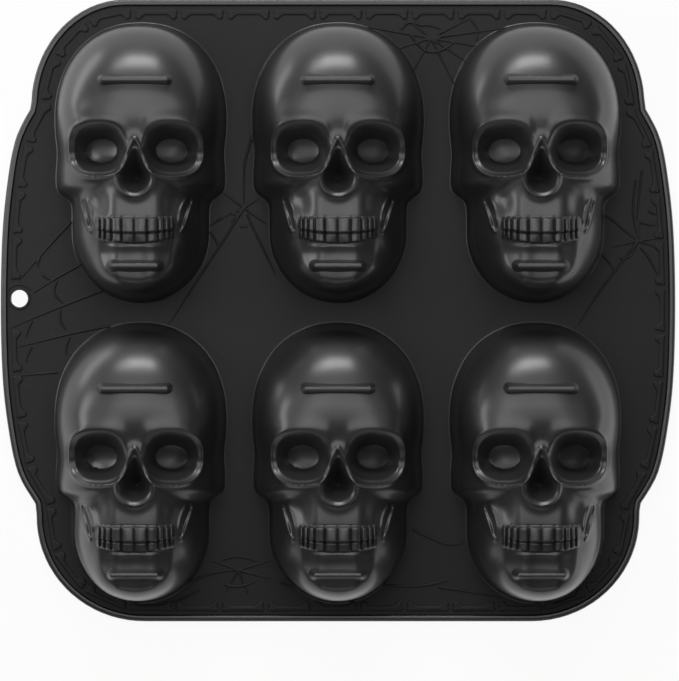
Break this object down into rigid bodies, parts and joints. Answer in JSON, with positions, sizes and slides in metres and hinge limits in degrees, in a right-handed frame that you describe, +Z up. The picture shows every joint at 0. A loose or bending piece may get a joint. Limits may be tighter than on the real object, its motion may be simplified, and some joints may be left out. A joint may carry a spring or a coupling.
{
  "type": "cake mould",
  "caption": "Black silicone cake mould with two rows of human skull cavities in a rounded tray with side grips, foot bars on the skulls and a hanging hole.",
  "frame": {"origin": "centre of the overall box in plan, on the plane that the rim's underside lies on", "axes": "+X to the right of the picture, +Y towards the crowns of the skulls, +Z up out of the deck towards the faces"},
  "size_m": [0.32, 0.295, 0.0512],
  "materials": {
    "silicone": "black food-grade silicone, satin on the skulls and finely matted on the deck",
    "steel": "drawn stainless steel wire, moulded in and out of sight"
  },
  "bodies": {
    "root": {"rim_bead": "silicone", "reinforcing_ring": "steel", "deck": "silicone", "skull_cup_top_left": "silicone", "forehead_foot_top_left": "silicone", "chin_foot_top_left": "silicone", "skull_cup_top_middle": "silicone", "forehead_foot_top_middle": "silicone", "chin_foot_top_middle": "silicone", "skull_cup_top_right": "silicone", "forehead_foot_top_right": "silicone", "chin_foot_top_right": "silicone", "skull_cup_low_left": "silicone", "forehead_foot_low_left": "silicone", "chin_foot_low_left": "silicone", "skull_cup_low_middle": "silicone", "forehead_foot_low_middle": "silicone", "chin_foot_low_middle": "silicone", "skull_cup_low_right": "silicone", "forehead_foot_low_right": "silicone", "chin_foot_low_right": "silicone"}
  },
  "joints": []
}
